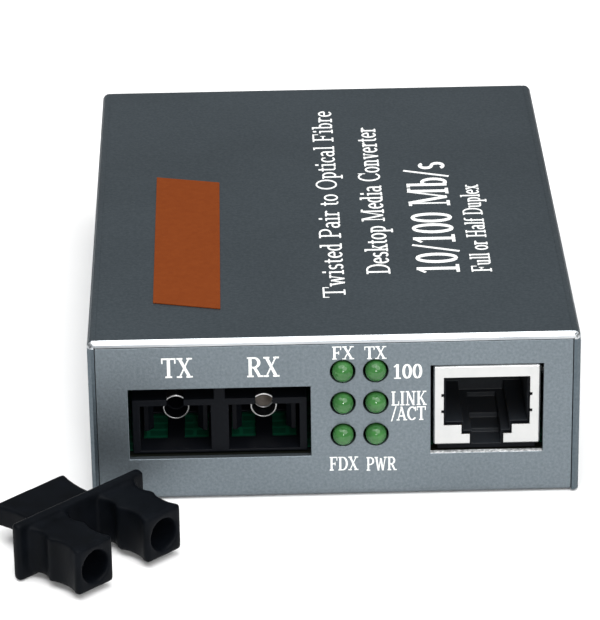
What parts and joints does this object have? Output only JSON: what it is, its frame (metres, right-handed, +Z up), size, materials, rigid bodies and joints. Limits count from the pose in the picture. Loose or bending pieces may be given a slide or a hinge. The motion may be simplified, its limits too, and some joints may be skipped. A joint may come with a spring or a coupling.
{
  "type": "fibre media converter",
  "caption": "Desktop converter between a duplex SC optical transceiver and a shielded RJ45 socket, in a folded steel case, with its dust plug.",
  "frame": {"origin": "middle of the case's underside, on the table", "axes": "+X to the right of someone facing the ports, +Y from the ports to the rear panel, +Z up"},
  "size_m": [0.0836, 0.123, 0.0257],
  "materials": {
    "black_plastic": "black moulded plastic",
    "black_rubber": "black moulded rubber",
    "board_green": "green solder mask on glass-fibre board",
    "can_sleeve": "dark blue sleeve on an aluminium can",
    "ceramic": "polished white zirconia",
    "chip_epoxy": "black moulding compound",
    "cover_paint": "dark slate grey textured powder paint on folded steel",
    "gold": "gold-plated contact wire",
    "lamp_green": "green diffused lamp resin",
    "nickel": "bright nickel plate",
    "orange_paper": "plain orange-brown paper sticker",
    "panel_paint": "mid grey fine powder paint on folded steel",
    "screw_steel": "zinc-plated steel"
  },
  "bodies": {
    "case": {"base_tray": "panel_paint", "board_screw_front_left": "screw_steel", "board_screw_front_right": "screw_steel", "board_screw_rear_left": "screw_steel", "board_screw_rear_right": "screw_steel", "capacitor_1": "can_sleeve", "capacitor_2": "can_sleeve", "capacitor_3": "can_sleeve", "converter_chip": "chip_epoxy", "cover_screw_front_left": "screw_steel", "cover_screw_front_right": "screw_steel", "cover_screw_rear_left": "screw_steel", "cover_screw_rear_right": "screw_steel", "crystal": "nickel", "isolation_transformer": "chip_epoxy", "jack_insert": "black_plastic", "jack_shield": "nickel", "label": "orange_paper", "lamp_1": "lamp_green", "lamp_2": "lamp_green", "lamp_3": "lamp_green", "lamp_4": "lamp_green", "lamp_5": "lamp_green", "lamp_6": "lamp_green", "lamp_holder": "black_plastic", "main_board": "board_green", "power_inductor": "chip_epoxy", "power_jack_body": "black_plastic", "power_jack_pin": "nickel", "rx_barrel": "nickel", "rx_sleeve": "ceramic", "sc_housing": "black_plastic", "standoff_front_left": "screw_steel", "standoff_front_right": "screw_steel", "standoff_rear_left": "screw_steel", "standoff_rear_right": "screw_steel", "top_cover": "cover_paint", "transceiver_board": "board_green", "transceiver_cap": "nickel", "transceiver_pins": "black_plastic", "tx_barrel": "nickel", "tx_sleeve": "ceramic", "voltage_regulator": "chip_epoxy"},
    "latch_tx_left": {"latch_arm_tx_left": "black_plastic"},
    "latch_tx_right": {"latch_arm_tx_right": "black_plastic"},
    "latch_rx_left": {"latch_arm_rx_left": "black_plastic"},
    "latch_rx_right": {"latch_arm_rx_right": "black_plastic"},
    "jack_contacts": {"jack_contact_1": "gold", "jack_contact_2": "gold", "jack_contact_3": "gold", "jack_contact_4": "gold", "jack_contact_5": "gold", "jack_contact_6": "gold", "jack_contact_7": "gold", "jack_contact_8": "gold"},
    "power_spring": {"power_jack_spring": "nickel"},
    "dust_plug": {"dust_plug": "black_rubber"}
  },
  "joints": [
    {"name": "dust_plug_lift", "type": "slide", "parent": "case", "child": "dust_plug", "axis": [0, 0, 1], "range_m": [0, 0.06]},
    {"name": "latch_tx_left_flex", "type": "hinge", "parent": "case", "child": "latch_tx_left", "pos_m": [-0.02695, -0.0316, 0.0111], "axis": [0, 0, -1], "range_deg": [0, 2], "stiffness_Nm_per_rad": 1},
    {"name": "latch_tx_right_flex", "type": "hinge", "parent": "case", "child": "latch_tx_right", "pos_m": [-0.01865, -0.0316, 0.0111], "axis": [0, 0, 1], "range_deg": [0, 2], "stiffness_Nm_per_rad": 1},
    {"name": "latch_rx_left_flex", "type": "hinge", "parent": "case", "child": "latch_rx_left", "pos_m": [-0.01425, -0.0316, 0.0111], "axis": [0, 0, -1], "range_deg": [0, 2], "stiffness_Nm_per_rad": 1},
    {"name": "latch_rx_right_flex", "type": "hinge", "parent": "case", "child": "latch_rx_right", "pos_m": [-0.00595, -0.0316, 0.0111], "axis": [0, 0, 1], "range_deg": [0, 2], "stiffness_Nm_per_rad": 1},
    {"name": "jack_contacts_flex", "type": "hinge", "parent": "case", "child": "jack_contacts", "pos_m": [0.0217, -0.044, 0.01782], "axis": [1, 0, 0], "range_deg": [0, 14], "stiffness_Nm_per_rad": 0.25},
    {"name": "power_spring_flex", "type": "hinge", "parent": "case", "child": "power_spring", "pos_m": [-0.022, 0.0365, 0.01], "axis": [-1, 0, 0], "range_deg": [0, 5], "stiffness_Nm_per_rad": 0.3}
  ]
}
